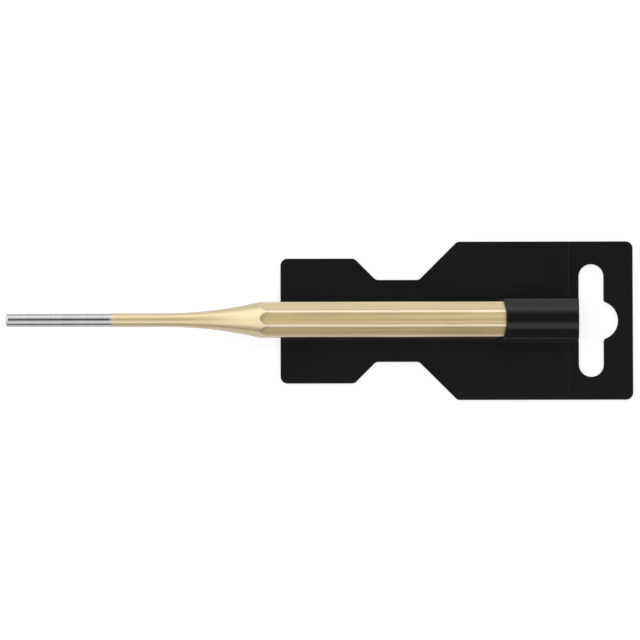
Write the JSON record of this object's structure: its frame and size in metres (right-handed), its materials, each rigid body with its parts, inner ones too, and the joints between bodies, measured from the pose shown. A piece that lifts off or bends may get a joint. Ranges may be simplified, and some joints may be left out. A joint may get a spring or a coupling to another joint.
{
  "type": "pin punch",
  "caption": "Octagonal steel pin punch with a straight drive pin, its head held in the sleeve of a flat moulded hang-up hanger.",
  "frame": {"origin": "under the middle of the whole, on the plane of the hanger's back face", "axes": "+X along the punch from its tip toward the hang slot, +Z out of the card's face, so the hanger lies on its back at Z = 0"},
  "size_m": [0.1778, 0.045, 0.0122],
  "materials": {
    "black_plastic": "semi-gloss moulded black polypropylene",
    "gold_lacquer": "satin metallic gold lacquer over steel",
    "bare_steel": "bare steel, ground round the pin"
  },
  "bodies": {
    "hanger": {"hanger": "black_plastic"},
    "punch": {"punch": "gold_lacquer"}
  },
  "joints": [
    {"name": "punch_slide", "type": "slide", "parent": "hanger", "child": "punch", "axis": [-1, 0, 0], "range_m": [-0.012, 0.075]}
  ]
}
